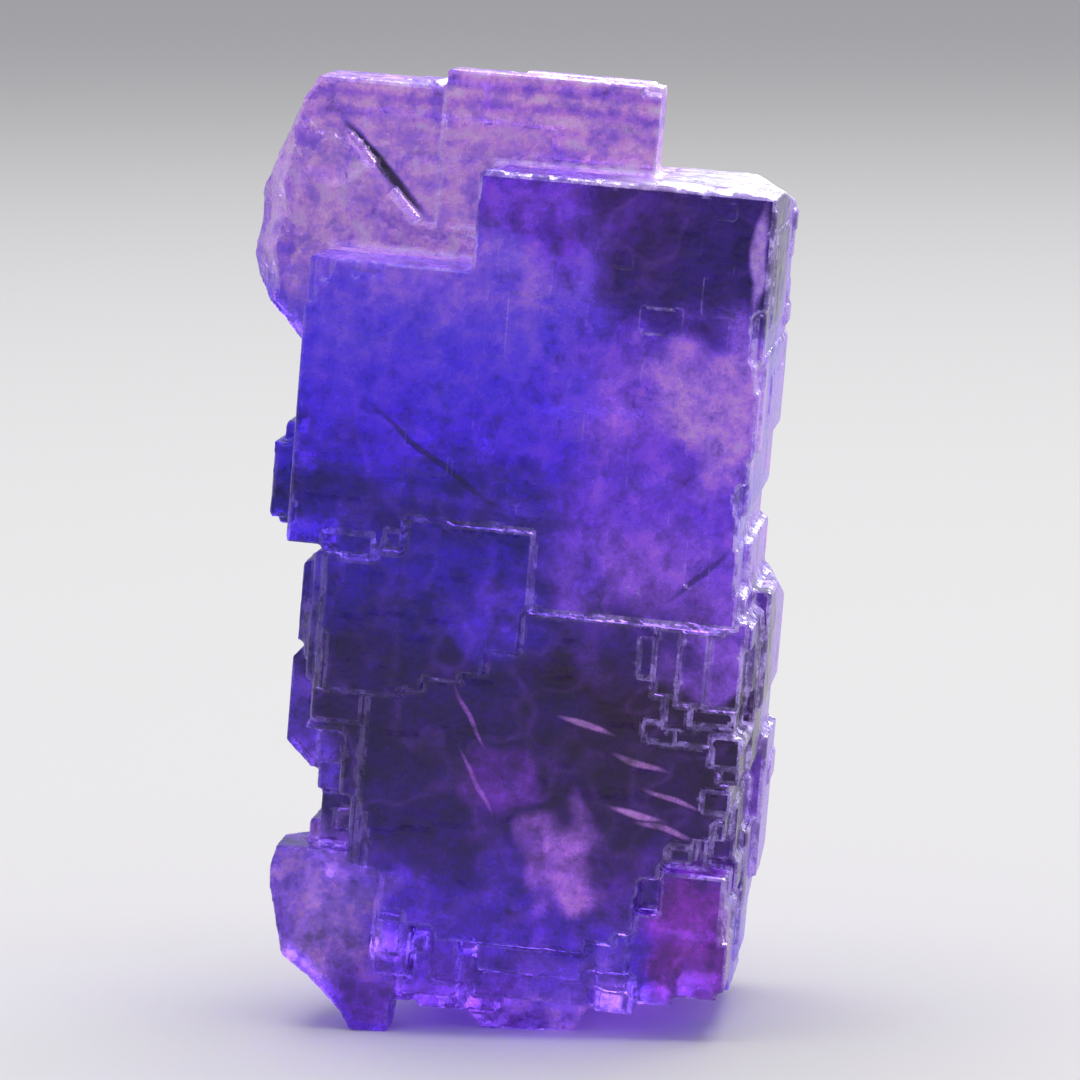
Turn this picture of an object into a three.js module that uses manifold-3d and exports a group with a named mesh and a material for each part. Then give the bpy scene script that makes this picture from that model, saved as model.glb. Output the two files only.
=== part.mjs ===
// A group of fluorite cubes grown into one another, standing on the ends of its lowest crystals.
// The crystals are laid out square to one another: x to the right, y from the front face to the
// back, z up, in millimetres. The whole group is then leaned to the right and stood on z = 0.
import * as THREE from 'three';
import { mergeVertices } from 'three/addons/utils/BufferGeometryUtils.js';
import Module from 'manifold-3d';

const wasm = await Module();
wasm.setup();

// How far the group leans to its right, and how far its lowest tips are worn flat where it stands
const LEAN = THREE.MathUtils.degToRad(4.8);
const STANDING_HEIGHT = -1.7;

// The largest cube, which gives the group its flat front face
const MAIN_LEFT = -12.5;
const MAIN_RIGHT = 15.5;
const MAIN_BOTTOM = 40.3;
const MAIN_TOP = 81.1;
const MAIN_BACK = 33;

// The lower shoulder that carries the front face on to the left
const SHOULDER_LEFT = -28.1;
const SHOULDER_BOTTOM = 44.6;
const SHOULDER_TOP = 71.8;
const SHOULDER_BACK = 30;

// The pale plate-like crystal that stands behind and above the others
const CAP_FRONT = 14;
const CAP_BACK = 19.6;
const CAP_RIGHT = 2.8;
const CAP_LEFT = -38;
const CAP_TOP = 89.9;
const CAP_STEP_X = -18;
const CAP_STEP_TOP = 88.2;
const CAP_BOTTOM = 58;

// The crystals under the front face, each set a little further back than the one above
const MIDDLE_FRONT = 0.8;
const LOWER_FRONT = 2.5;
const LOWER_LEFT = -19.4;
const LOWER_RIGHT = 15.8;
const LOWER_BACK = 31;
const CORNER_FRONT = 4;
const FOOT_FRONT = 7.5;
const SPUR_FRONT = 6;

// The stepped crystals that look out past the right-hand side
const FLANK_FRONT = 12;
const FLANK_RIGHT = 17.7;
const FLANK_BACK = 34;

// Edges shorter than this are closed up at the end
const SHORTEST_EDGE = 0.04;

// A point deep inside the group, which tells the inner side of a slanting cut from its outer side
const GROUP_MIDDLE = new THREE.Vector3(-5, 17, 45);

function solid(geometry) {
  geometry.deleteAttribute('normal');
  geometry.deleteAttribute('uv');
  const merged = mergeVertices(geometry, 1e-5);
  return new wasm.Manifold(new wasm.Mesh({
    numProp: 3,
    vertProperties: Float32Array.from(merged.attributes.position.array),
    triVerts: Uint32Array.from(merged.index.array),
  }));
}

// A cube-shaped crystal, or a piece of one, between two corners
function block([x0, x1], [y0, y1], [z0, z1]) {
  const geometry = new THREE.BoxGeometry(1, 1, 1);
  const position = geometry.attributes.position;
  for (let i = 0; i < position.count; i += 1) {
    position.setXYZ(
      i,
      position.getX(i) < 0 ? x0 : x1,
      position.getY(i) < 0 ? y0 : y1,
      position.getZ(i) < 0 ? z0 : z1,
    );
  }
  return solid(geometry);
}

// An outline seen from the front, given as x, z points, carried back from y0 to y1
function slab(points, [y0, y1]) {
  const shape = new THREE.Shape(points.map(([x, z]) => new THREE.Vector2(x, z)));
  const geometry = new THREE.ExtrudeGeometry(shape, { depth: y1 - y0, bevelEnabled: false });
  geometry.rotateX(Math.PI / 2);
  geometry.translate(0, y1, 0);
  return solid(geometry);
}

// Everything on the outer side of a slanting plane through three points, to be taken away
function beyond(a, b, c, size = 40) {
  const [p, q, r] = [a, b, c].map((point) => new THREE.Vector3(...point));
  const outward = new THREE.Vector3().crossVectors(q.clone().sub(p), r.clone().sub(p)).normalize();
  const middle = p.clone().add(q).add(r).divideScalar(3);
  if (outward.dot(GROUP_MIDDLE.clone().sub(middle)) > 0) {
    outward.negate();
  }
  const geometry = new THREE.BoxGeometry(size, size, size);
  geometry.translate(0, 0, size / 2);
  geometry.applyQuaternion(new THREE.Quaternion().setFromUnitVectors(new THREE.Vector3(0, 0, 1), outward));
  geometry.translate(middle.x, middle.y, middle.z);
  return solid(geometry);
}

// Everything on the outer side of a rough break, to be taken away. The break is a grid of facets
// that rise and fall by relief, in shallow shells that fan out from one corner.
function beyondBreak({ at, outward, width, height, relief, cells }) {
  const depth = 16;
  const [across, along] = cells;
  const geometry = new THREE.BoxGeometry(width, height, depth, across, along, 1);
  geometry.translate(0, 0, depth / 2);
  const position = geometry.attributes.position;
  const corner = new THREE.Vector2(-width * 0.55, -height * 0.35);
  for (let i = 0; i < position.count; i += 1) {
    if (position.getZ(i) < depth / 2) {
      const x = position.getX(i);
      const y = position.getY(i);
      const ring = Math.hypot(x - corner.x, y - corner.y);
      const shells = Math.sin(ring * 0.9) + 0.6 * Math.sin(x * 1.3 + y * 0.7) + 0.5 * Math.sin(y * 2.1 - x);
      position.setZ(i, position.getZ(i) + relief * shells / 2);
    }
  }
  const direction = new THREE.Vector3(...outward).normalize();
  geometry.applyQuaternion(new THREE.Quaternion().setFromUnitVectors(new THREE.Vector3(0, 0, 1), direction));
  geometry.translate(...at);
  return solid(geometry);
}

// A shallow shell-shaped chip, to be taken away
function chip([x, y, z], radius) {
  const geometry = new THREE.IcosahedronGeometry(radius, 2);
  geometry.translate(x, y, z);
  return solid(geometry);
}

// A repeatable run of numbers from 0 to 1
function numbersFrom(seed) {
  let state = seed;
  return () => {
    state = (state * 1664525 + 1013904223) % 4294967296;
    return state / 4294967296;
  };
}

// Small steps are whole multiples of this size apart, so that no two nearly meet
const STEP = 0.2;

function toStep(value) {
  return Math.round(value / STEP) * STEP + STEP / 2;
}

// Small growth steps in a row along an edge. Each is a flat block, long one way and thin the others.
function ledges({ from, to, count, long, thick, seed }) {
  const next = numbersFrom(seed);
  const start = new THREE.Vector3(...from);
  const run = new THREE.Vector3(...to).sub(start);
  const axis = run.clone().normalize().toArray().map(Math.abs);
  return Array.from({ length: count }, (_, i) => {
    const middle = start.clone().addScaledVector(run, (i + 0.2 + 0.6 * next()) / count).toArray();
    const spans = middle.map((at, k) => {
      const across = thick[k] * (0.45 + 0.55 * next());
      const half = axis[k] * long * (0.3 + 0.7 * next()) / 2 + across;
      return [toStep(at - half), toStep(at + half)];
    });
    return block(...spans);
  });
}

function joined(solids) {
  return solids.reduce((whole, piece) => whole.add(piece));
}

function without(whole, cuts) {
  return cuts.reduce((rest, cut) => rest.subtract(cut), whole);
}

// The main cube and its left shoulder, with the steps along their edges
function mainCrystal() {
  const body = joined([
    block([MAIN_LEFT, MAIN_RIGHT], [0, MAIN_BACK], [47.7, MAIN_TOP]),
    block([-4.5, MAIN_RIGHT], [0, MAIN_BACK], [MAIN_BOTTOM, 50]),
    block([SHOULDER_LEFT, -10], [0, SHOULDER_BACK], [48, SHOULDER_TOP]),
    block([SHOULDER_LEFT, -17], [0, SHOULDER_BACK], [SHOULDER_BOTTOM, 50]),
    // thin layers on the right-hand face
    block([10, 15.8], [3, MAIN_BACK], [57, 66]),
    block([10, 15.7], [6.4, 25], [68.4, 77.6]),
    block([10, 15.95], [11, 28.6], [59.2, 63.4]),
    // the lip along the bottom edge of the front face
    block([-4.2, 14], [0.6, 30], [39.8, 42]),
    // thin plates that stick out under the shoulder
    block([-24.5, -19.8], [-0.3, 4], [44.1, 46]),
    block([-22.8, -19.5], [0.2, 5], [43.6, 45]),
    block([-18.6, -17], [-0.25, 2], [45, 46.6]),
    // the crystal that shows past the left edge
    block([-30.6, -27], [5, 19], [46.2, 53.4]),
    block([-29.9, -27], [6.5, 17], [45.4, 55.3]),
    // steps on the top face and on the hidden left face
    block([MAIN_LEFT + 1.2, 14.2], [1.2, MAIN_BACK - 2], [80, MAIN_TOP + 0.25]),
    block([4, 12.6], [3.4, MAIN_BACK - 5], [80, MAIN_TOP + 0.5]),
    block([-29.6, -27], [16, 29], [50.4, 66.5]),
    block([-30.4, -27], [20, 28], [54, 62]),
    ...ledges({
      from: [MAIN_LEFT + 0.6, 0.5, MAIN_TOP - 0.1], to: [MAIN_RIGHT - 0.6, 0.5, MAIN_TOP - 0.1],
      count: 13, long: 2.4, thick: [0.1, 0.55, 0.35], seed: 11,
    }),
    ...ledges({
      from: [MAIN_RIGHT - 0.15, 0.9, 71], to: [MAIN_RIGHT - 0.15, 0.9, 80],
      count: 4, long: 3, thick: [0.32, 0.8, 0.1], seed: 5,
    }),
    ...ledges({
      from: [MAIN_RIGHT - 0.1, 30, 57], to: [MAIN_RIGHT - 0.1, 30, 79],
      count: 7, long: 4, thick: [0.45, 2.4, 0.1], seed: 23,
    }),
    ...ledges({
      from: [-3.8, 0.7, MAIN_BOTTOM], to: [13.4, 0.7, MAIN_BOTTOM],
      count: 8, long: 2.6, thick: [0.1, 0.5, 0.3], seed: 31,
    }),
  ]);
  return without(body, [
    // the right-hand edge is stepped back in short flights
    block([14.3, 17], [-1, 1.1], [65.4, 70.3]),
    block([15, 17], [-1, 2.4], [62.8, 65.4]),
    block([15.2, 17], [-1, 34], [50.9, 56.6]),
    block([14.4, 17], [-1, 2.2], [50.6, 54]),
    block([14.6, 17], [-1, 34], [47.6, 50.9]),
    block([14.9, 17], [-1, 9], [43.4, 47.6]),
    block([15.1, 17], [-1, 6], [39, 43.4]),
    // the back right-hand corner of the top has cleaved away
    beyond([MAIN_RIGHT, 11, MAIN_TOP + 0.1], [MAIN_RIGHT, MAIN_BACK, 79], [11.5, MAIN_BACK, MAIN_TOP + 0.1]),
    // small square steps in the upper left corner of the shoulder
    block([-29, -25.6], [-1, 0.7], [69.6, 73]),
    block([-29, -27.2], [-1, 1.6], [67.4, 73]),
    block([-23.6, -20.8], [-1, 0.35], [70.3, 73]),
  ]);
}

// The pale crystal behind: two plates of unlike height, broken along the left
function capCrystal() {
  const body = joined([
    block([CAP_STEP_X, CAP_RIGHT], [CAP_FRONT, CAP_BACK], [70, CAP_TOP]),
    block([CAP_LEFT, -15], [CAP_FRONT + 0.4, 27], [CAP_BOTTOM, CAP_STEP_TOP]),
    block([-10.5, CAP_RIGHT - 1.1], [CAP_FRONT + 1.2, CAP_BACK - 1.2], [80, CAP_TOP + 0.35]),
    block([-21.6, -19], [CAP_FRONT + 1, 24], [80, CAP_STEP_TOP + 0.35]),
    block([-27, -8], [20, 29.5], [66, 84.6]),
    block([-23.5, -16], [20, 31], [69, 80.2]),
    // the stack of small ledges in the corner over the shoulder
    block([-20.8, -18.9], [10.5, 16], [70, 74.6]),
    block([-18.9, -12], [10.2, 16], [70, 73.1]),
    block([-19, -12], [11.4, 16], [74.1, 74.6]),
    block([-18.9, -16.2], [10.8, 16], [73.6, 73.9]),
  ]);
  return without(body, [
    // the upper left corner, then the break that runs down the left and round to the back
    beyond([-30.4, 14, 88.2], [-32, 14, 86.2], [-30.8, 30, 88.2]),
    beyondBreak({
      at: [-32.6, 17, 84], outward: [-1, -0.12, 0.42], width: 22, height: 22, relief: 0.35, cells: [10, 10],
    }),
    beyondBreak({
      at: [-33.7, 17, 72.5], outward: [-0.86, -0.53, -0.02], width: 26, height: 26, relief: 0.5, cells: [12, 12],
    }),
    beyondBreak({
      at: [-34.6, 23.4, 73.4], outward: [-0.87, 0.5, 0.05], width: 26, height: 34, relief: 0.6, cells: [8, 12],
    }),
    beyond([-31.4, 14, 62.9], [-34.9, 14, 66.5], [-31.4, 30, 62.9]),
    // a slanting groove along a cleavage, widest at its upper end
    slab([[-28, 82.9], [-27.1, 83.1], [-19.6, 75.2], [-20, 74.8]], [10, CAP_FRONT + 2]),
    // the facet below the groove leans back towards the break
    beyond([-28.3, CAP_FRONT + 0.3, 82.2], [-20.5, CAP_FRONT + 0.35, 74.8], [-32, CAP_FRONT + 2.2, 72.6]),
    // a shallow dish where a flake has come off
    chip([-29.5, 7.1, 79.4], 8.4),
    block([1, 4], [CAP_FRONT - 1, CAP_FRONT + 0.5], [89, 92]),
  ]);
}

// The darker crystal under the shoulder, whose lower edge comes down in steps to the left
function middleCrystal() {
  const steps = [[-5.3, 35.8], [-8.4, 33.5], [-10.6, 32.6], [-14.2, 31.4], [-16.4, 30.6]];
  const body = joined([
    ...steps.map(([right, bottom]) => block([-24.1, right], [MIDDLE_FRONT, SHOULDER_BACK], [bottom, 44])),
    block([-17.4, -4], [MIDDLE_FRONT, 20], [40, 48.5]),
    // upright plates behind its left edge
    block([-24.8, -20], [2.6, 28], [27.5, 43.5]),
    block([-25.8, -20], [4, 27], [31, 43.4]),
    block([-27, -20], [5.6, 26], [34.4, 42.2]),
    block([-26.3, -20], [5, 20], [32.8, 38]),
  ]);
  return body.subtract(block([-24.5, -23.4], [0, MIDDLE_FRONT + 0.4], [30, 36.4]));
}

// The crystals that come down the left side below the middle one
function leftCrystals() {
  const cleaved = without(joined([
    block([-27.7, -20], [8, 27], [21.8, 33.2]),
    block([-26.8, -20], [8.6, 25], [29, 34.6]),
  ]), [
    // a cleavage across the lower left corner, and a worn upper one
    beyond([-27.7, 0, 24.2], [-25.2, 0, 21.8], [-27.7, 30, 24.2], 12),
    beyond([-27.9, 0, 32.2], [-27.9, 30, 32.2], [-26.7, 0, 33.6], 12),
  ]);
  return joined([
    cleaved,
    block([-25, -19], [3.6, 26], [26.9, 31]),
    block([-25.2, -20.4], [3.1, 8], [26.3, 27]),
    block([-24.1, -19], [5, 26], [22.8, 27]),
    block([-24.2, -19], [6.6, 26], [20, 23]),
    block([-23.8, -18], [8, 25], [10, 20.4]),
    block([-21.6, -19], [3, 24], [20.2, 28.4]),
    block([-20.4, -18], [3.3, 24], [13.6, 21]),
    block([-22.2, -18], [7.2, 20], [16.2, 18]),
    block([-25.2, -20], [11, 20], [12, 16.2]),
    block([-23.6, -20.4], [9.6, 22], [12, 17.4]),
    ...ledges({
      from: [-24, 4.9, 28], to: [-24, 4.9, 42], count: 5, long: 3.4, thick: [1.1, 1.2, 0.1], seed: 41,
    }),
  ]);
}

// The dark crystal of the lower front, stepped along both of its lower corners
function lowerCrystal() {
  const steps = [
    [[LOWER_LEFT, LOWER_RIGHT], 19.4], [[LOWER_LEFT, 12.9], 16.9], [[LOWER_LEFT, 9.9], 15.2],
    [[LOWER_LEFT, 8], 13.5], [[-16.9, 7.7], 9.6], [[-14.3, 6], 8.4], [[-11.2, 3.4], 7.4],
  ];
  const body = joined([
    ...steps.map(([across, bottom]) => block(across, [LOWER_FRONT, LOWER_BACK], [bottom, 43])),
    block([-20.2, 0], [LOWER_FRONT + 0.4, LOWER_BACK], [20.4, 33]),
    block([-16.9, -13.9], [LOWER_FRONT + 0.5, 28], [8.4, 12]),
    block([-7, 3.2], [LOWER_FRONT + 0.8, 28], [4.5, 11]),
    block([-7.3, 4], [LOWER_FRONT + 2.6, 28], [1.7, 6]),
    ...ledges({
      from: [LOWER_LEFT, LOWER_FRONT + 0.4, 15], to: [LOWER_LEFT, LOWER_FRONT + 0.4, 28],
      count: 6, long: 2.4, thick: [0.4, 0.35, 0.1], seed: 53,
    }),
    ...ledges({
      from: [11, LOWER_FRONT + 0.3, 19.6], to: [15.6, LOWER_FRONT + 0.3, 24.4],
      count: 6, long: 1.2, thick: [0.4, 0.4, 0.4], seed: 67,
    }),
  ]);
  return without(body, [
    block([-19.6, -18.3], [2, LOWER_FRONT + 0.35], [13, 16.4]),
    block([-20, -18.9], [2, LOWER_FRONT + 0.5], [16.4, 18.8]),
    block([10.4, 13.2], [2, LOWER_FRONT + 0.6], [16, 18.7]),
    block([14.6, 16], [2, LOWER_FRONT + 0.9], [19, 21.4]),
  ]);
}

// Square steps between the bottom of the main cube and the lower crystal, highest on the right
function rightSteps() {
  const flights = [
    [[13, 16.1], 1, [32.4, 41]], [[10.2, 14], 1.4, [32.6, 41]], [[7.8, 11], 1.8, [33.2, 41]],
    [[11.6, 15.9], 1.6, [30.6, 34]], [[9, 12.4], 1.95, [30, 34]], [[10.4, 15.8], 2.05, [28.8, 31]],
    [[7.3, 13], 2.25, [28.6, 30.4]], [[13.8, 16.6], 1.5, [26.9, 29.8]], [[14.8, 16.7], 1.9, [25.2, 27]],
    [[6.2, 8.4], 2.3, [34.6, 38.4]], [[14.7, 16.8], 1.2, [38.3, 40.6]], [[15.2, 17], 2, [28.6, 29.3]],
    [[13.4, 16.1], 2.2, [22.4, 24.2]],
  ];
  return joined(flights.map(([across, front, height]) => block(across, [front, LOWER_BACK], height)));
}

// The crystals behind the right-hand side
function flankCrystals() {
  const body = joined([
    block([8, FLANK_RIGHT], [FLANK_FRONT, FLANK_BACK], [31.4, 42.6]),
    block([8, 17.2], [FLANK_FRONT - 2, FLANK_BACK], [25.4, 38]),
    block([8, 16.9], [7, 30], [33.4, 39.4]),
    block([8, FLANK_RIGHT + 0.3], [22, FLANK_BACK], [12.8, 27]),
    block([8, FLANK_RIGHT + 0.6], [26, FLANK_BACK - 1], [21.4, 24]),
    block([8, 17.3], [15, FLANK_BACK], [5.8, 18.6]),
    block([8, 16.9], [12, 32], [3.2, 12.4]),
    block([6, 16.2], [14, 31], [2.4, 6]),
    block([8, 16.5], [8, 28], [17, 22.6]),
    block([8, 17], [9, 26], [13.6, 16.8]),
  ]);
  return without(body, [
    beyond([FLANK_RIGHT, 18, 43], [FLANK_RIGHT, 35, 39.4], [15.4, 35, 43]),
    beyond([FLANK_RIGHT, 26, 11.4], [FLANK_RIGHT, 35, 13.4], [15.2, 35, 5.8], 14),
  ]);
}

// The reddish crystal at the lower right corner and the small ones beside it
function cornerCrystals() {
  return joined([
    block([9.9, 16.2], [CORNER_FRONT, 30], [3.8, 15.8]),
    block([14, 16.9], [CORNER_FRONT, 29], [4.6, 9.4]),
    block([15, 16.6], [CORNER_FRONT + 1, 29], [9, 12.6]),
    block([8, 12], [CORNER_FRONT, 30], [2.9, 11.5]),
    block([3.3, 7.5], [3.5, 30], [5.6, 10.2]),
    block([4.6, 9], [CORNER_FRONT + 0.7, 30], [3.6, 9]),
    block([5, 7.3], [5.3, 28], [1.8, 5]),
    block([4.4, 8.3], [6.4, 28], [1.1, 6]),
    block([1, 7.6], [7, 28], [1.6, 8]),
  ]);
}

// The small cubes of the lower left corner
function smallCubes() {
  return joined([
    block([-17.2, -13.7], [4.5, 28], [2.9, 10]),
    block([-15.6, -13.4], [6.4, 26], [0.1, 4]),
    block([-14.4, -9], [5.6, 28], [1, 9]),
    block([-12.8, -9.4], [7, 28], [-0.4, 6]),
    block([-11.4, -9], [4.4, 28], [2.8, 9]),
    block([-11, -6.8], [5, 28], [2.8, 5.5]),
    block([-10.3, -8.4], [6.4, 26], [-0.1, 4]),
    block([-8.6, -5], [6.8, 26], [-0.3, 8]),
    block([-13.2, -12], [4.9, 20], [5.4, 7]),
    block([-16.6, -14.8], [4.2, 20], [5.2, 9]),
  ]);
}

// The rounded foot in the middle, which the group stands on
function middleFoot() {
  const outline = [
    [-8.4, -0.4], [-7.2, -1.2], [-5.8, -3.5], [2.2, -3.5], [3, -0.6], [3.4, 0.4], [4.2, 1.2], [4.4, 9], [-8.4, 9],
  ];
  return without(slab(outline, [FOOT_FRONT, 27]), [
    beyond([-10, FOOT_FRONT, 0.4], [10, FOOT_FRONT + 0.9, -1.9], [-10, FOOT_FRONT + 0.9, -1.9]),
  ]);
}

// The pale spur at the lower left, cleaved along its underside down to the point it stands on
function spur() {
  const outline = [
    [-27.6, 14.2], [-28.1, 12], [-28, 10.2], [-27.2, 7], [-26.8, 5.2], [-26.3, 3.4], [-23.9, 1.8],
    [-22.1, 0.3], [-20, -1.8], [-18.6, -4], [-15.3, -4], [-15.3, 14.2],
  ];
  return without(slab(outline, [SPUR_FRONT, 21]), [
    beyondBreak({
      at: [-26.3, 14.6, 8], outward: [-0.8, 0.8, 0.1], width: 20, height: 24, relief: 0.4, cells: [8, 8],
    }),
    // its back is cleaved away towards the point, which is only a few millimetres thick
    beyond([-20, 9.4, -4], [-10, 9.4, -4], [-20, 19.5, 10]),
    chip([-28.9, -1.4, 12.6], 7.8),
  ]);
}

// The hidden back: the crystals join in one mass, which ends in small cubes and a rough break
// where the group came off the rock, and comes down to two blunt feet
function backOfGroup() {
  const body = joined([
    block([-18, 14], [7, 33], [3.6, 41]),
    block([-26, -10], [12, 29], [34, 50]),
    block([-11, -3], [20, 31], [-5, 6]),
    block([3, 11], [21, 31], [-5, 6]),
    block([-7.2, 2.8], [30, 35.4], [57, 67.2]),
    block([-1.4, 6], [30, 34.6], [50.6, 59.4]),
    block([-4.4, 0.6], [30, 36.2], [60.4, 65]),
    block([-24, -14.6], [26, 32.2], [49, 60.8]),
    block([-20.4, -12], [26, 33.8], [53, 57.4]),
    block([5.8, 12.4], [30, 34], [68.6, 76]),
    block([-11.4, -4.6], [30, 33.9], [71.4, 79.4]),
    block([-9.8, -6.6], [30, 34.7], [74, 77.4]),
    block([9.4, 14.4], [30, 33.7], [44.6, 55]),
    block([-18.6, -15], [20, 31.8], [24, 36]),
    block([-21, -15], [16, 28.6], [18, 31]),
  ]);
  return without(body, [
    beyondBreak({
      at: [-1, 32, 20], outward: [-0.1, 1, -0.12], width: 46, height: 44, relief: 1.1, cells: [14, 14],
    }),
  ]);
}

const grown = joined([
  mainCrystal(), capCrystal(), middleCrystal(), leftCrystals(), lowerCrystal(), rightSteps(),
  flankCrystals(), cornerCrystals(), smallCubes(), middleFoot(), spur(), backOfGroup(),
]);

function surface(manifold) {
  const { vertProperties, triVerts } = manifold.getMesh();
  const geometry = new THREE.BufferGeometry();
  geometry.setAttribute('position', new THREE.BufferAttribute(Float32Array.from(vertProperties), 3));
  geometry.setIndex(new THREE.BufferAttribute(Uint32Array.from(triVerts), 1));
  return geometry;
}

// Closes up facets that are too small to matter: each edge shorter than shortest becomes a point
function withoutShortEdges(geometry, shortest) {
  const position = geometry.attributes.position;
  const index = geometry.index.array;
  let triangles = Array.from({ length: index.length / 3 }, (_, i) => [...index.slice(3 * i, 3 * i + 3)]);
  const point = (i) => new THREE.Vector3().fromBufferAttribute(position, i);
  const neighbours = (i) => new Set(triangles.filter((triangle) => triangle.includes(i)).flat());
  const closable = ([a, b]) => {
    if (point(a).distanceTo(point(b)) >= shortest) {
      return false;
    }
    const around = neighbours(b);
    return [...neighbours(a)].filter((i) => around.has(i)).length === 4;
  };
  const shortEdge = () => {
    for (const [a, b, c] of triangles) {
      const edge = [[a, b], [b, c], [c, a]].find(closable);
      if (edge) {
        return edge;
      }
    }
    return null;
  };
  for (let edge = shortEdge(); edge; edge = shortEdge()) {
    const [kept, dropped] = edge;
    triangles = triangles
      .map((triangle) => triangle.map((i) => (i === dropped ? kept : i)))
      .filter((triangle) => new Set(triangle).size === 3);
  }
  geometry.setIndex(triangles.flat());
  return geometry;
}

// Lean the group, then cut its lowest tips off flat at z = 0
const leaned = surface(grown);
leaned.rotateY(LEAN);
leaned.translate(0, 0, -STANDING_HEIGHT);
const belowTable = block([-100, 100], [-100, 100], [-40, 0]);
const standing = withoutShortEdges(surface(solid(leaned).subtract(belowTable)), SHORTEST_EDGE);

// The origin is under the middle of the group, on the surface that it stands on
standing.computeBoundingBox();
const centre = standing.boundingBox.getCenter(new THREE.Vector3());
standing.translate(-centre.x, -centre.y, 0);

const crystal = new THREE.Mesh(standing, new THREE.MeshStandardMaterial({
  color: 0x4a2aa8,
  roughness: 0.25,
  metalness: 0,
}));
crystal.name = 'fluorite_crystal';

const group = new THREE.Group();
group.add(crystal);

export default group;
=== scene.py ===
import math
import random

import bmesh
import bpy
from mathutils import Matrix, Vector, noise
from mathutils.bvhtree import BVHTree


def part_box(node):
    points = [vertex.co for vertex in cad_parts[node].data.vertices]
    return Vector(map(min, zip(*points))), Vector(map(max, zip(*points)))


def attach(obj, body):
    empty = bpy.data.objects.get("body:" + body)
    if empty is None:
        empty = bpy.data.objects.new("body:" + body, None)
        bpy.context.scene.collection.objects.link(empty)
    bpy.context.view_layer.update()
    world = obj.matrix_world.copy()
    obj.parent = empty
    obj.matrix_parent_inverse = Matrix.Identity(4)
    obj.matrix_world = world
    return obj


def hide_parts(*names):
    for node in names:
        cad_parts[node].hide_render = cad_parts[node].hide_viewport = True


bl_info = {
    "name": "Fluorite crystal group",
    "version": (1, 0, 0),
    "blender": (4, 5, 0),
    "location": "3D View > Sidebar > Fluorite",
    "description": "Finishes a standing group of grown-together fluorite cubes",
    "category": "Object",
}

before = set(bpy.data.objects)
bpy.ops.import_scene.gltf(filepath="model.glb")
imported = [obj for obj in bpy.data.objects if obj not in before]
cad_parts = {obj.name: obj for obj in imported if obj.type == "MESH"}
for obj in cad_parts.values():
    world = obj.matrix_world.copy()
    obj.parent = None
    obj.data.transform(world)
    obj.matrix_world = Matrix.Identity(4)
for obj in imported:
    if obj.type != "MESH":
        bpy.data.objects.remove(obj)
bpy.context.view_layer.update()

MM = 0.001
NODE = "fluorite_crystal"

# The crystals are square to one another, and the group leans to its right. The crystal frame is
# x right, y back from the front face, z up, in millimetres; this turns and moves it to the row frame.
LEAN = math.radians(4.8)
SHIFT = Vector((4.0235, -17.95, 1.7))
TO_ROW = (
    Matrix.Scale(MM, 4)
    @ Matrix.Translation(SHIFT)
    @ Matrix.Rotation(LEAN, 4, "Y")
)
TO_CRYSTAL = TO_ROW.inverted()

# Points of the solid nearer to each other than this, in millimetres, are one point
WELD = 0.002
# A face is square to the crystal when its normal's largest part is above this
SQUARE = 0.999
# The least face, in square millimetres, that bears a low terrace
BEARING_AREA = 0.6
# A terrace reaches up to one of these from its middle, in millimetres
TERRACE_REACHES = (1.4, 2.6, 5.0)
# The face under a terrace's corner is sought from this far above, and lies level with the terrace's
# own face within this, in millimetres
SEARCH_HEIGHT = 0.2
LEVEL_WITHIN = 0.01
# A point is on a worn edge when its normal's largest part is below this
EDGE_FACING = 0.985
# Wide and narrow notches per millimetre of edge, and how deep the narrow ones are to the wide ones
WIDE_NOTCHES = 0.55
NARROW_NOTCHES = 1.7
NARROW_DEPTH = 0.6
# Faces that turn less than this are merged, in radians
NEARLY_FLAT = math.radians(2.5)
# Points nearer to the floor than this, in metres, rest on it
ON_FLOOR = 0.04 * MM

SMOOTH = {"interpolation_type": "SMOOTHSTEP"}
COLOUR_MIX = {"data_type": "RGBA"}


def linear(hex_colour, alpha=True):
    """An sRGB hex colour as linear numbers."""
    parts = [int(hex_colour[i:i + 2], 16) / 255 for i in (1, 3, 5)]
    values = [p / 12.92 if p <= 0.04045 else ((p + 0.055) / 1.055) ** 2.4 for p in parts]
    return (*values, 1.0) if alpha else tuple(values)


def colour_setting(name, description, default):
    return bpy.props.FloatVectorProperty(
        name=name, description=description, default=linear(default, alpha=False),
        subtype="COLOR", size=3, min=0, max=1,
    )


def length_setting(name, description, millimetres):
    return bpy.props.FloatProperty(
        name=name, description=description, default=millimetres * MM,
        min=0, subtype="DISTANCE", unit="LENGTH",
    )


class CrystalSizes(bpy.types.PropertyGroup):
    edge_wear: length_setting("Edge wear", "How far the worn edges are rounded", 0.3)
    terrace: length_setting("Terrace", "Height of the low growth terraces on the faces", 0.09)
    nick: length_setting("Nick", "Depth of the notches along the worn edges", 0.16)
    terraces: bpy.props.IntProperty(
        name="Terraces", description="Number of low growth terraces", default=260, min=0,
    )


class CrystalColours(bpy.types.PropertyGroup):
    back: colour_setting("Back", "Paler violet of the hidden back", "#7c5cdc")
    cap: colour_setting("Cap", "Lilac of the thin crystal behind the top", "#9070fa")
    # near-white of worn, frosted edges and small steps, which is also the colour of the painted
    # highlight on the rims and the top face
    frost_and_highlight_colour: colour_setting("Frost", "Near-white of worn edges and small steps", "#e9defc")
    depth: colour_setting("Depth", "What is left of white light deep inside", "#b48cff")


class StageSettings(bpy.types.PropertyGroup):
    floor: colour_setting("Floor", "Pale floor", "#e4e2e0")
    light: bpy.props.FloatProperty(
        name="Light", description="Strength of all the lamps together", default=1.0, min=0,
    )


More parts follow.
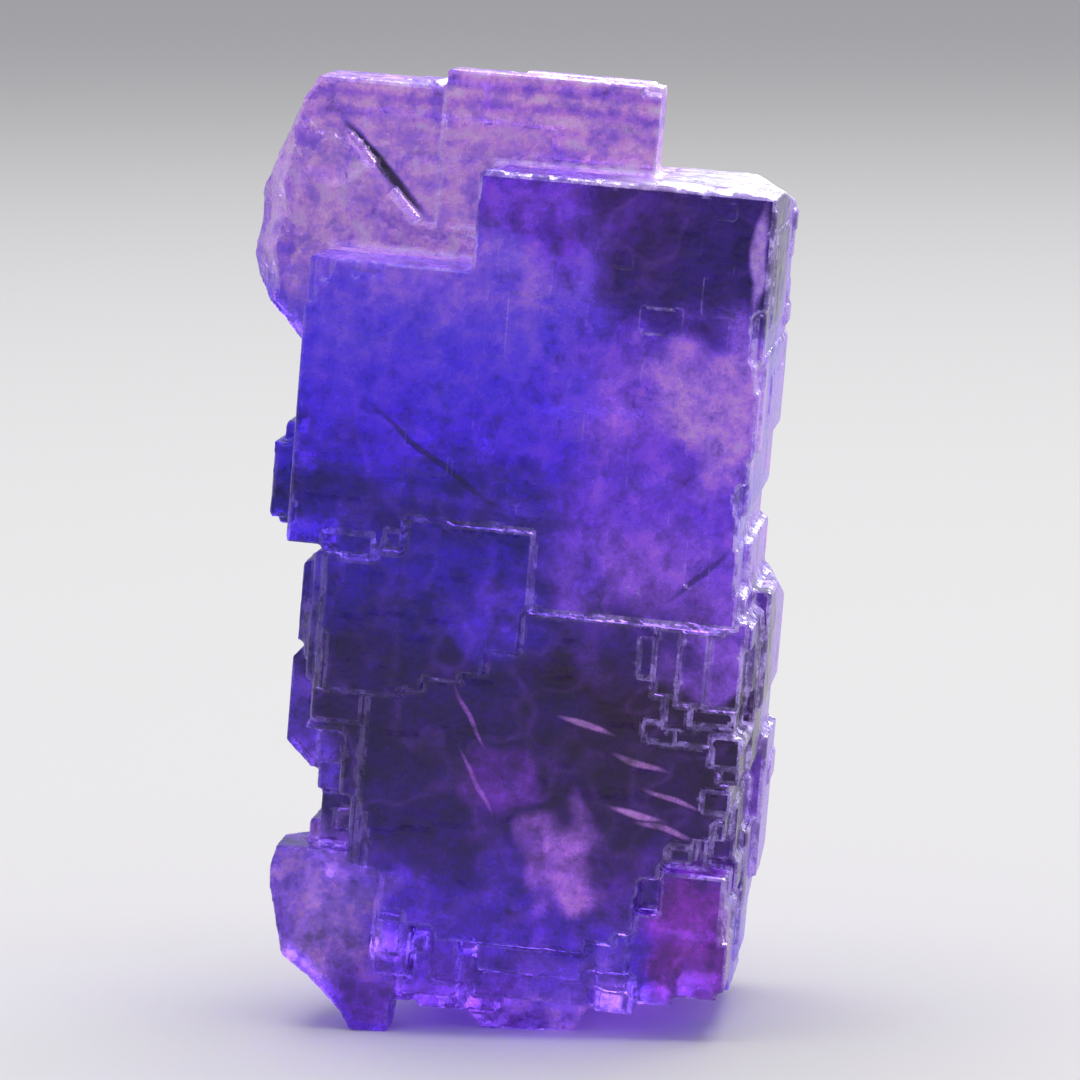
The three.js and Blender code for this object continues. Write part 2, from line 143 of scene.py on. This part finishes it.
# The colour changes up the group as the solution it grew from changed. Heights are in millimetres in
# the crystal frame, and each sRGB colour is how that height shows with light behind it.
ZONES_LEFT = {
    2: "#6238c0", 9: "#4626b4", 16: "#32167c", 23: "#240e58", 33: "#2a1068", 38: "#281284",
    44: "#341ca4", 49: "#281484", 56: "#4424ca", 66: "#5844ea", 72: "#6c52ea", 77: "#5c34c4",
}
ZONES_RIGHT = {
    1: "#7c5ce0", 7: "#4626b4", 14: "#452090", 19: "#2c1060", 33: "#280b42", 38.5: "#3c2084",
    44: "#7450cc", 51: "#5c38c8", 61: "#7450d8", 67: "#5634bc", 72: "#2c1270", 80: "#341878",
}
ZONE_TOP = 95

# Clouds that break the zones up: middle in the crystal frame, radius, colour and cover
COLOUR_CLOUDS = {
    "right lavender": ((12, 0, 61.5), 8, "#9070e4", 0.85),
    "top left dark": ((-8, 0, 78), 2.6, "#3a1c90", 0.6),
    "lower veil": ((-6, 2.5, 22), 4.5, "#5a2ca0", 0.75),
    "middle light": ((-8, 0.8, 39), 4.5, "#4c2ec0", 0.75),
    "right steps lilac": ((13, 1.5, 36.5), 4.5, "#7a56d0", 0.8),
    "bright cloud": ((0.5, 2.5, 15.4), 4.6, "#9a6ee6", 0.8),
    "corner magenta": ((14, 4, 9.5), 7, "#6c30a0", 0.9),
    "spur violet": ((-24, 8, 8), 9, "#8668de", 0.9),
    "left plates": ((-28, 8, 27), 8, "#5a40c0", 0.75),
}

# Cracks and feathers near the front, with a painted highlight strip near the right edge and painted
# shade in the cap groove, in groups that lie the same way: degrees from level, half length, half width,
# colour, cover, and the middles as x, depth and z
FEATHERS_AND_PAINTED_LINES = {
    "healed feathers": (-13, 3.4, 0.4, "#9c78cc", 0.6, (
        (10.4, 2.5, 23.2), (7.2, 2.5, 21.4), (9.8, 2.5, 20.2), (7, 2.5, 26.3), (1.5, 2.5, 29.5),
    )),
    "veils": (-57, 4.4, 0.3, "#9264d0", 0.55, ((-9.6, 2.5, 29.2), (-8.4, 2.5, 23))),
    "long crack": (-35, 11.5, 0.42, "#1a0c5c", 0.8, ((-13.6, 0, 53.2),)),
    "right crack": (45, 5.2, 0.36, "#2a1470", 0.7, ((11.2, 0, 45.2),)),
    # painted highlight: a pale vertical strip near the right edge, where light from behind comes
    # through the rim
    "right painted highlight strip": (90, 6, 0.9, "#a084f0", 0.8, ((14.3, 0, 75.6),)),
    # painted shade: a near-black line along the groove behind the top, where the crease falls dark
    "cap groove painted shade": (-43.6, 8.4, 0.8, "#120a3c", 0.97, ((-23.2, 14, 79.7),)),
}

# What of the light behind the group is left after it has crossed its back and its depth
LEFT_BY_DEPTH = (0.33, 0.27, 0.72)

# Deeper violet of the thin crystal's bands, and what the wisps add to the colour
CAP_BANDS = "#643edc"
WISPS = "#6a50a0"
# Full swing of the noise that bends the edges of the zones and clouds, and of the one that bends the
# cracks, in millimetres. Most of it stays within a fifth of this to each side.
WANDER = 14
CROOK = 1.6
# How much a crack fades with each millimetre in front of its depth or behind it
FEATHER_FADE = 0.25

# Soft lamps: place, aim and size in metres, watts, and whether they light the crystal alone, which
# keeps their edges off the floor
LAMPS = {
    "back_lamp": ((0.12, 0.3, 0.3), (0, 0, 0.05), (0.3, 0.3), 3.4, True),
    "right_lamp": ((0.4, 0.0, 0.3), (0, 0, 0.05), (0.15, 0.3), 2.4, True),
    "top_lamp": ((0.1, 0.2, 1.6), (0.1, 0.2, 0), (1.6, 1.6), 22, False),
}
ROOM_COLOUR = "#e6e8f0"
ROOM_LIGHT = 0.55

# The floor reaches this far to each side and lies just under the feet, in metres
FLOOR_REACH = 6
FLOOR_GAP = 0.02 * MM

# The camera at the photograph's viewing angle: metres, degrees, and a lens in millimetres
CAMERA_PLACE = (0.0585, -0.5072, 0.1101)
CAMERA_TURN = (82.92, 0, 6.35)
CAMERA_LENS = 175.33
CAMERA_SENSOR = 36


def evaluated(piece):
    """Applies a piece's modifiers to its mesh."""
    graph = bpy.context.evaluated_depsgraph_get()
    mesh = bpy.data.meshes.new_from_object(piece.evaluated_get(graph))
    old = piece.data
    piece.modifiers.clear()
    piece.data = mesh
    bpy.data.meshes.remove(old)


def mesh_piece(name, source):
    """A new object from a bmesh, which is freed."""
    mesh = bpy.data.meshes.new(name)
    source.to_mesh(mesh)
    source.free()
    piece = bpy.data.objects.new(name, mesh)
    bpy.context.collection.objects.link(piece)
    return piece


def add_box(target, middle, half):
    """Adds a closed box to a bmesh by its middle and half its sides."""
    place = Matrix.Translation(middle) @ Matrix.Diagonal((*[2 * h for h in half], 1))
    bmesh.ops.create_cube(target, size=1, matrix=place)


def terraces(target, count, height, seed):
    """Low rectangular terraces on the square faces, as layers of growth leave them."""
    pick = random.Random(seed)
    tree = BVHTree.FromBMesh(target)
    faces = [
        f for f in target.faces
        if max(abs(c) for c in f.normal) > SQUARE and f.calc_area() > BEARING_AREA
    ]
    sites = []
    for face in pick.choices(faces, [f.calc_area() for f in faces], k=count * 3):
        a, b, c = [v.co for v in face.verts[:3]]
        s, t = pick.random(), pick.random()
        if s + t > 1:
            s, t = 1 - s, 1 - t
        sites.append((a + (b - a) * s + (c - a) * t, Vector([round(n) for n in face.normal])))
    made = 0
    for point, normal in sites:
        level = max(range(3), key=lambda k: abs(normal[k]))
        flat = [k for k in range(3) if k != level]
        half = [pick.uniform(0.4, 1.0) ** 2 * pick.choice(TERRACE_REACHES) for _ in range(3)]
        half[level] = height * pick.uniform(0.5, 1.0)
        corners = [
            [i * half[flat[0]], j * half[flat[1]]] for i in (-1, 0, 1) for j in (-1, 0, 1)
        ]
        borne = True
        for i, j in corners:
            above = point + normal * SEARCH_HEIGHT
            above[flat[0]] += i
            above[flat[1]] += j
            found, _, _, distance = tree.ray_cast(above, -normal, SEARCH_HEIGHT * 1.25)
            borne = borne and found is not None and abs(distance - SEARCH_HEIGHT) < LEVEL_WITHIN
        if borne and made < count:
            add_box(target, point, half)
            made += 1


def chipped(piece, depth, seed):
    """Bites small notches out of the worn edges and roughens the broken faces."""
    mesh = piece.data
    offset = Vector((seed * 7.3, seed * 3.1, seed * 1.7))
    normals = [Vector(n.vector) for n in mesh.vertex_normals]
    for vertex, normal in zip(mesh.vertices, normals):
        if max(abs(c) for c in normal) < EDGE_FACING:
            wide = noise.noise(vertex.co * WIDE_NOTCHES + offset)
            narrow = noise.noise(vertex.co * NARROW_NOTCHES + offset)
            vertex.co -= normal * depth * max(0, wide + NARROW_DEPTH * narrow)


def worn(piece, width, nick):
    """Rounds all edges a little, then merges what is still flat into whole faces."""
    remesh = piece.modifiers.new("wear", "REMESH")
    remesh.mode = "VOXEL"
    remesh.voxel_size = width
    remesh.use_smooth_shade = False
    evaluated(piece)
    chipped(piece, nick, seed=8)
    flatten = piece.modifiers.new("flatten", "DECIMATE")
    flatten.decimate_type = "DISSOLVE"
    flatten.angle_limit = NEARLY_FLAT
    evaluated(piece)
    split = piece.modifiers.new("split", "TRIANGULATE")
    split.quad_method = "SHORTEST_DIAGONAL"
    evaluated(piece)


def checked(piece):
    """Raises an error if the mesh has an open or doubled edge."""
    shape = bmesh.new()
    shape.from_mesh(piece.data)
    bad = sum(1 for e in shape.edges if len(e.link_faces) != 2)
    shape.free()
    if bad:
        raise RuntimeError(f"the crystal's mesh has {bad} edges that aren't shared by two faces")


def kept_inside(piece, lowest, highest):
    """Moves any point that stands out of the box back to its side, and rests the feet on the floor."""
    for vertex in piece.data.vertices:
        for k in range(3):
            vertex.co[k] = min(max(vertex.co[k], lowest[k]), highest[k])
        if vertex.co.z < ON_FLOOR:
            vertex.co.z = 0


def add(tree, kind, settings=None, inputs=None):
    """Adds a node with its settings, and sets or links its inputs. Returns the node."""
    made = tree.nodes.new(kind)
    for name, value in (settings or {}).items():
        setattr(made, name, value)
    for name, value in (inputs or {}).items():
        if isinstance(value, bpy.types.NodeSocket):
            tree.links.new(value, made.inputs[name])
        else:
            made.inputs[name].default_value = value
    return made


def zones(tree, drifted):
    """The colour at each height, from the left side's table to the right side's."""
    level = add(tree, "ShaderNodeMath", {"operation": "DIVIDE"}, {
        0: drifted["Z"], 1: ZONE_TOP,
    }).outputs["Value"]
    sides = []
    for table in (ZONES_LEFT, ZONES_RIGHT):
        ramp = add(tree, "ShaderNodeValToRGB", None, {"Fac": level})
        while len(ramp.color_ramp.elements) < len(table):
            ramp.color_ramp.elements.new(0.5)
        for stop, (z, hex_colour) in zip(ramp.color_ramp.elements, table.items()):
            stop.position = z / ZONE_TOP
            stop.color = linear(hex_colour)
        sides.append(ramp.outputs["Color"])
    rightward = add(tree, "ShaderNodeMapRange", SMOOTH, {
        "Value": drifted["X"], "From Min": -6.0, "From Max": 3.0,
    }).outputs["Result"]
    return add(tree, "ShaderNodeMix", COLOUR_MIX, {
        "Factor": rightward, "A": sides[0], "B": sides[1],
    }).outputs["Result"]


def clouded(tree, colour, wandered):
    """The colour with its clouds, which have soft, wandering edges."""
    for middle, radius, hex_colour, cover in COLOUR_CLOUDS.values():
        distance = add(tree, "ShaderNodeVectorMath", {"operation": "DISTANCE"}, {
            0: wandered, 1: middle,
        }).outputs["Value"]
        share = add(tree, "ShaderNodeMapRange", SMOOTH, {
            "Value": distance, "From Min": radius * 1.2, "From Max": radius * 0.5,
            "To Min": 0.0, "To Max": cover,
        }).outputs["Result"]
        colour = add(tree, "ShaderNodeMix", COLOUR_MIX, {
            "Factor": share, "A": colour, "B": linear(hex_colour),
        }).outputs["Result"]
    return colour


def cap_share(tree, axes):
    """1 in the thin crystal behind the top and 0 elsewhere."""
    behind = add(tree, "ShaderNodeMapRange", None, {
        "Value": axes["Y"], "From Min": 9.5, "From Max": 10.5,
    }).outputs["Result"]
    above = add(tree, "ShaderNodeMapRange", SMOOTH, {
        "Value": axes["Z"], "From Min": 64.0, "From Max": 73.0,
    }).outputs["Result"]
    leftward = add(tree, "ShaderNodeMapRange", SMOOTH, {
        "Value": axes["X"], "From Min": 8.0, "From Max": 3.0,
    }).outputs["Result"]
    share = add(tree, "ShaderNodeMath", {"operation": "MULTIPLY"}, {0: behind, 1: above})
    share = add(tree, "ShaderNodeMath", {"operation": "MULTIPLY"}, {
        0: share.outputs["Value"], 1: leftward,
    })
    return share.outputs["Value"]


def cap_colour(tree, axes, crooked, lilac):
    """Lilac, with faint level bands of deeper violet near the top."""
    bands = add(tree, "ShaderNodeTexWave", {
        "wave_type": "BANDS", "bands_direction": "Z", "wave_profile": "SIN",
    }, {"Vector": crooked, "Scale": 0.16}).outputs["Fac"]
    high = add(tree, "ShaderNodeMapRange", None, {
        "Value": axes["Z"], "From Min": 81.0, "From Max": 87.0, "To Min": 0.05, "To Max": 0.5,
    }).outputs["Result"]
    banding = add(tree, "ShaderNodeMath", {"operation": "MULTIPLY"}, {
        0: bands, 1: high,
    }).outputs["Value"]
    return add(tree, "ShaderNodeMix", COLOUR_MIX, {
        "Factor": banding, "A": (*lilac, 1), "B": linear(CAP_BANDS),
    }).outputs["Result"]


def feathered_with_painted_lines(tree, colour, axes, crooked):
    """The colour with its cracks and feathers, a painted highlight strip and painted shade in the cap
    groove, tapered to both ends and a little crooked.
    """
    behind_front = add(tree, "ShaderNodeMath", {"operation": "MULTIPLY"}, {
        0: axes["Y"], 1: FEATHER_FADE,
    }).outputs["Value"]
    for degrees, half_length, half_width, hex_colour, cover, middles in FEATHERS_AND_PAINTED_LINES.values():
        turn = math.radians(degrees)
        along = Vector((math.cos(turn), 0, math.sin(turn))) / half_length
        across = Vector((-math.sin(turn), 0, math.cos(turn))) / half_width
        shares = [
            add(tree, "ShaderNodeVectorMath", {"operation": "DOT_PRODUCT"}, {
                0: crooked, 1: way,
            }).outputs["Value"]
            for way in (along, across)
        ]
        own = add(tree, "ShaderNodeCombineXYZ", None, {
            "X": shares[0], "Y": shares[1], "Z": behind_front,
        }).outputs["Vector"]
        nearest = None
        for x, depth, z in middles:
            middle = Vector((x + CROOK / 2, 0, z + CROOK / 2))
            distance = add(tree, "ShaderNodeVectorMath", {"operation": "DISTANCE"}, {
                0: own, 1: (middle.dot(along), middle.dot(across), depth * FEATHER_FADE),
            }).outputs["Value"]
            nearest = distance if nearest is None else add(
                tree, "ShaderNodeMath", {"operation": "MINIMUM"}, {0: nearest, 1: distance},
            ).outputs["Value"]
        share = add(tree, "ShaderNodeMapRange", SMOOTH, {
            "Value": nearest, "From Min": 1.0, "From Max": 0.4, "To Min": 0.0, "To Max": cover,
        }).outputs["Result"]
        colour = add(tree, "ShaderNodeMix", COLOUR_MIX, {
            "Factor": share, "A": colour, "B": linear(hex_colour),
        }).outputs["Result"]
    return colour


def wisped(tree, colour, billow):
    """The colour with wisps of paler violet, which wind through the whole group about 8 mm apart."""
    parts = add(tree, "ShaderNodeSeparateXYZ", None, {"Vector": billow}).outputs
    wisp = add(tree, "ShaderNodeMath", {"operation": "SUBTRACT"}, {
        0: parts["X"], 1: parts["Z"],
    }).outputs["Value"]
    wisp = add(tree, "ShaderNodeMath", {"operation": "ABSOLUTE"}, {0: wisp}).outputs["Value"]
    share = add(tree, "ShaderNodeMapRange", SMOOTH, {
        "Value": wisp, "From Min": 0.1, "From Max": 0.0, "To Min": 0.0, "To Max": 0.14,
    }).outputs["Result"]
    return add(tree, "ShaderNodeMix", {**COLOUR_MIX, "blend_type": "ADD"}, {
        "Factor": share, "A": colour, "B": linear(WISPS),
    }).outputs["Result"]


def as_base(tree, look):
    """A face tints what passes it by the root of its colour, so the base colour is the look
    without the depth's share, squared."""
    shallow = add(tree, "ShaderNodeVectorMath", {"operation": "DIVIDE"}, {
        0: look, 1: LEFT_BY_DEPTH,
    }).outputs["Vector"]
    squared = add(tree, "ShaderNodeVectorMath", {"operation": "MULTIPLY"}, {
        0: shallow, 1: shallow,
    }).outputs["Vector"]
    return add(tree, "ShaderNodeVectorMath", {"operation": "MINIMUM"}, {
        0: squared, 1: (0.95, 0.95, 0.95),
    }).outputs["Vector"]


def edge_frost_and_highlight(tree, axes, mottle, in_cap):
    """Faces that aren't square are worn edges and breaks, which scatter near-white in patches. This is
    partly real frost and partly a painted highlight where light catches the rims. It is strongest at
    the upper right, where the light falls, and on the rim of the thin crystal behind the top."""
    facing = add(tree, "ShaderNodeNewGeometry").outputs["True Normal"]
    facing = add(tree, "ShaderNodeVectorRotate", {"rotation_type": "Y_AXIS"}, {
        "Vector": facing, "Angle": -LEAN,
    }).outputs["Vector"]
    facing = add(tree, "ShaderNodeVectorMath", {"operation": "ABSOLUTE"}, {0: facing})
    facing = add(tree, "ShaderNodeSeparateXYZ", None, {"Vector": facing.outputs["Vector"]}).outputs
    square = add(tree, "ShaderNodeMath", {"operation": "MAXIMUM"}, {
        0: facing["X"], 1: facing["Y"],
    }).outputs["Value"]
    square = add(tree, "ShaderNodeMath", {"operation": "MAXIMUM"}, {
        0: square, 1: facing["Z"],
    }).outputs["Value"]
    slanting = add(tree, "ShaderNodeMapRange", None, {
        "Value": square, "From Min": 0.99, "From Max": 0.93,
    }).outputs["Result"]
    # painted highlight: the rims grow whiter toward the upper right, where the light falls
    toward_light = add(tree, "ShaderNodeMath", {"operation": "MULTIPLY_ADD"}, {
        0: axes["X"], 1: 2.2, 2: axes["Z"],
    }).outputs["Value"]
    lit_side_share = add(tree, "ShaderNodeMapRange", SMOOTH, {
        "Value": toward_light, "From Min": 10.0, "From Max": 76.0, "To Min": 0.12, "To Max": 0.95,
    }).outputs["Result"]
    lit_side_share = add(tree, "ShaderNodeMath", {"operation": "MULTIPLY_ADD"}, {
        0: in_cap, 1: 0.5, 2: lit_side_share,
    }).outputs["Value"]
    frost_and_highlight = add(tree, "ShaderNodeMath", {"operation": "MULTIPLY"}, {
        0: slanting, 1: lit_side_share,
    }).outputs["Value"]
    beads = add(tree, "ShaderNodeMapRange", SMOOTH, {
        "Value": mottle, "From Min": 0.42, "From Max": 0.6, "To Min": 0.15, "To Max": 1.0,
    }).outputs["Result"]
    return add(tree, "ShaderNodeMath", {"operation": "MULTIPLY"}, {
        0: frost_and_highlight, 1: beads,
    }).outputs["Value"]


def with_painted_top_glare(tree, frost_and_highlight, axes, drifted, in_cap):
    """The frost with a painted highlight on the top of the main cube: near-white beside the crystal
    behind, where light from above glances off the top.
    """
    # painted highlight: the top face of the main cube turns near-white
    top_glare = add(tree, "ShaderNodeMapRange", None, {
        "Value": axes["Z"], "From Min": 80.85, "From Max": 81.05, "To Max": 0.8,
    }).outputs["Result"]
    beside_cap = add(tree, "ShaderNodeMapRange", SMOOTH, {
        "Value": drifted["X"], "From Min": -3.0, "From Max": 6.0,
    }).outputs["Result"]
    beside_cap = add(tree, "ShaderNodeMath", {"operation": "SUBTRACT", "use_clamp": True}, {
        0: beside_cap, 1: in_cap,
    }).outputs["Value"]
    return add(tree, "ShaderNodeMath", {"operation": "MULTIPLY_ADD"}, {
        0: top_glare, 1: beside_cap, 2: frost_and_highlight,
    }).outputs["Value"]


def fluorite(colours):
    """Zoned fluorite, natural cube faces. Clear crystal with clouds of violet and blue in it: light
    comes through from behind, the faces are satin, and worn edges scatter near-white. The near-white is
    partly a painted highlight on the rims and the top face, and the cap groove holds painted shade."""
    material = bpy.data.materials.new("zoned_fluorite_natural_faces")
    material.use_nodes = True
    tree = material.node_tree
    tree.nodes.clear()

    # the crystal frame in millimetres
    row = add(tree, "ShaderNodeTexCoord").outputs["Object"]
    turned_back = Matrix.Rotation(-LEAN, 3, "Y") @ -SHIFT
    place = add(tree, "ShaderNodeMapping", {"vector_type": "POINT"}, {
        "Vector": row, "Location": turned_back, "Rotation": (0, -LEAN, 0), "Scale": [1 / MM] * 3,
    }).outputs["Vector"]
    axes = add(tree, "ShaderNodeSeparateXYZ", None, {"Vector": place}).outputs

    # billows 6 mm across make the edges of zones and clouds wander by about 3 mm, and cracks by less
    billow = add(tree, "ShaderNodeTexNoise", None, {
        "Vector": place, "Scale": 1 / 6, "Detail": 1.0, "Roughness": 0.7,
    }).outputs["Color"]
    wander = add(tree, "ShaderNodeVectorMath", {"operation": "MULTIPLY_ADD"}, {
        0: billow, 1: [WANDER] * 3, 2: place,
    }).outputs["Vector"]
    wandered = add(tree, "ShaderNodeVectorMath", {"operation": "SUBTRACT"}, {
        0: wander, 1: [WANDER / 2] * 3,
    }).outputs["Vector"]
    drifted = add(tree, "ShaderNodeSeparateXYZ", None, {"Vector": wandered}).outputs
    crooked = add(tree, "ShaderNodeVectorMath", {"operation": "MULTIPLY_ADD"}, {
        0: billow, 1: [CROOK] * 3, 2: place,
    }).outputs["Vector"]

    # the group pales to its back, and the crystal behind the top has its own colour
    colour = clouded(tree, zones(tree, drifted), wandered)
    backward = add(tree, "ShaderNodeMapRange", SMOOTH, {
        "Value": axes["Y"], "From Min": 12.0, "From Max": 28.0, "To Max": 0.8,
    }).outputs["Result"]
    colour = add(tree, "ShaderNodeMix", COLOUR_MIX, {
        "Factor": backward, "A": colour, "B": (*colours.back, 1),
    }).outputs["Result"]
    in_cap = cap_share(tree, axes)
    colour = add(tree, "ShaderNodeMix", COLOUR_MIX, {
        "Factor": in_cap, "A": colour, "B": cap_colour(tree, axes, crooked, colours.cap),
    }).outputs["Result"]
    colour = wisped(tree, feathered_with_painted_lines(tree, colour, axes, crooked), billow)

    # mottling 2.6 mm across, down to grains of 0.2 mm, lightens and darkens the colour
    mottle = add(tree, "ShaderNodeTexNoise", None, {
        "Vector": place, "Scale": 1 / 2.6, "Detail": 4.0, "Roughness": 0.8,
    }).outputs["Fac"]
    mottled = add(tree, "ShaderNodeMapRange", None, {
        "Value": mottle, "From Min": 0.3, "From Max": 0.7, "To Min": 0.5, "To Max": 1.65,
    }).outputs["Result"]
    colour = add(tree, "ShaderNodeVectorMath", {"operation": "SCALE"}, {
        0: colour, "Scale": mottled,
    }).outputs["Vector"]

    # painted highlight: near-white on the worn edges, partly real frost, brightest toward the upper
    # right where the light falls, plus painted glare on the top face
    frost_and_highlight = edge_frost_and_highlight(tree, axes, mottle, in_cap)
    frost_and_highlight = with_painted_top_glare(tree, frost_and_highlight, axes, drifted, in_cap)
    colour = add(tree, "ShaderNodeMix", COLOUR_MIX, {
        "Factor": frost_and_highlight, "A": as_base(tree, colour), "B": (*colours.frost_and_highlight_colour, 1),
    }).outputs["Result"]

    # a grain 0.6 mm across, finer than the modelled terraces, breaks up the gloss
    fine = add(tree, "ShaderNodeTexNoise", None, {
        "Vector": place, "Scale": 1 / 0.6, "Detail": 0.0,
    }).outputs["Fac"]
    bump = add(tree, "ShaderNodeBump", None, {
        "Strength": 0.35, "Distance": 0.12 * MM, "Height": fine,
    }).outputs["Normal"]

    rough = add(tree, "ShaderNodeMapRange", None, {
        "Value": mottle, "From Min": 0.35, "From Max": 0.65, "To Min": 0.16, "To Max": 0.34,
    }).outputs["Result"]

    shader = add(tree, "ShaderNodeBsdfPrincipled", None, {
        "Base Color": colour, "Roughness": rough, "Normal": bump,
        "IOR": 1.434, "Transmission Weight": 0.75, "Metallic": 0.0,
    })
    depth = add(tree, "ShaderNodeVolumeAbsorption", None, {
        "Color": (*colours.depth, 1), "Density": 18.0,
    })
    end = add(tree, "ShaderNodeOutputMaterial", None, {
        "Surface": shader.outputs["BSDF"], "Volume": depth.outputs["Volume"],
    })
    end.is_active_output = True
    return material


def studio_floor(colour):
    """Matte painted board: an even pale floor with no gloss, so nothing is mirrored in it."""
    material = bpy.data.materials.new("matte_painted_board")
    material.use_nodes = True
    tree = material.node_tree
    tree.nodes.clear()
    shader = add(tree, "ShaderNodeBsdfPrincipled", None, {
        "Base Color": (*colour, 1), "Roughness": 0.9, "IOR": 1.5,
    })
    add(tree, "ShaderNodeOutputMaterial", None, {"Surface": shader.outputs["BSDF"]})
    return material


def softbox(name, place, aim, size, watts):
    """A rectangular lamp that the camera doesn't see."""
    lamp = bpy.data.lights.new(name, "AREA")
    lamp.shape = "RECTANGLE"
    lamp.size, lamp.size_y = size
    lamp.energy = watts
    holder = bpy.data.objects.new(name, lamp)
    holder.location = place
    holder.rotation_euler = (Vector(aim) - Vector(place)).to_track_quat("-Z", "Y").to_euler()
    holder.visible_camera = False
    bpy.context.collection.objects.link(holder)
    return holder


class FLUORITE_OT_crystal(bpy.types.Operator):
    """Makes the crystal group from the CAD solid, with terraces, nicked edges and zoned fluorite"""

    bl_idname = "fluorite.crystal"
    bl_label = "Crystal group"

    def execute(self, context):
        sizes = context.scene.fluorite_sizes
        solid = bpy.data.objects[NODE]
        piece = bpy.data.objects.new("crystal_group", solid.data.copy())
        context.collection.objects.link(piece)
        piece.data.transform(TO_CRYSTAL @ solid.matrix_world)
        shape = bmesh.new()
        shape.from_mesh(piece.data)
        bmesh.ops.remove_doubles(shape, verts=shape.verts, dist=WELD)
        terraces(shape, sizes.terraces, sizes.terrace / MM, seed=3)
        shape.to_mesh(piece.data)
        shape.free()
        worn(piece, sizes.edge_wear / MM, sizes.nick / MM)
        piece.data.transform(TO_ROW)
        kept_inside(piece, *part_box(NODE))
        checked(piece)
        piece.data.materials.clear()
        piece.data.materials.append(fluorite(context.scene.fluorite_colours))
        lit = bpy.data.collections.get("crystal_only")
        if lit:
            lit.objects.link(piece)
        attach(piece, "root")
        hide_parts(NODE)
        return {"FINISHED"}


class FLUORITE_OT_stage(bpy.types.Operator):
    """Sets the pale floor, the soft lamps and the camera at the photograph's viewing angle"""

    bl_idname = "fluorite.stage"
    bl_label = "Floor, lamps and camera"

    def execute(self, context):
        settings = context.scene.fluorite_stage
        shape = bmesh.new()
        bmesh.ops.create_grid(shape, x_segments=1, y_segments=1, size=FLOOR_REACH)
        floor = mesh_piece("studio_floor", shape)
        floor.location.z = -FLOOR_GAP
        floor.data.materials.append(studio_floor(settings.floor))

        lit = bpy.data.collections.new("crystal_only")
        for name, (place, aim, size, watts, crystal_only) in LAMPS.items():
            lamp = softbox(name, place, aim, size, watts * settings.light)
            if crystal_only:
                lamp.light_linking.receiver_collection = lit

        world = bpy.data.worlds.new("studio")
        world.use_nodes = True
        room = world.node_tree.nodes["Background"].inputs
        room["Color"].default_value = linear(ROOM_COLOUR)
        room["Strength"].default_value = ROOM_LIGHT * settings.light
        context.scene.world = world
        context.scene.view_settings.view_transform = "Standard"

        lens = bpy.data.cameras.new("camera")
        lens.sensor_width = CAMERA_SENSOR
        lens.lens = CAMERA_LENS
        lens.clip_start, lens.clip_end = 0.01, 20
        camera = bpy.data.objects.new("camera", lens)
        camera.location = CAMERA_PLACE
        camera.rotation_euler = [math.radians(angle) for angle in CAMERA_TURN]
        context.collection.objects.link(camera)
        context.scene.camera = camera
        return {"FINISHED"}


class FLUORITE_PT_panel(bpy.types.Panel):
    """Sizes, colours and steps of the fluorite group"""

    bl_label = "Fluorite group"
    bl_idname = "FLUORITE_PT_panel"
    bl_space_type = "VIEW_3D"
    bl_region_type = "UI"
    bl_category = "Fluorite"

    def draw(self, context):
        for group in (
            context.scene.fluorite_sizes, context.scene.fluorite_colours, context.scene.fluorite_stage,
        ):
            column = self.layout.column()
            for name in group.__annotations__:
                column.prop(group, name)
        self.layout.operator(FLUORITE_OT_crystal.bl_idname)
        self.layout.operator(FLUORITE_OT_stage.bl_idname)


CLASSES = (
    CrystalSizes, CrystalColours, StageSettings,
    FLUORITE_OT_crystal, FLUORITE_OT_stage, FLUORITE_PT_panel,
)


def register():
    for one in CLASSES:
        bpy.utils.register_class(one)
    bpy.types.Scene.fluorite_sizes = bpy.props.PointerProperty(type=CrystalSizes)
    bpy.types.Scene.fluorite_colours = bpy.props.PointerProperty(type=CrystalColours)
    bpy.types.Scene.fluorite_stage = bpy.props.PointerProperty(type=StageSettings)


def unregister():
    del bpy.types.Scene.fluorite_stage
    del bpy.types.Scene.fluorite_colours
    del bpy.types.Scene.fluorite_sizes
    for one in reversed(CLASSES):
        bpy.utils.unregister_class(one)


def main():
    register()
    bpy.ops.fluorite.stage()
    bpy.ops.fluorite.crystal()


if __name__ == "__main__":
    main()
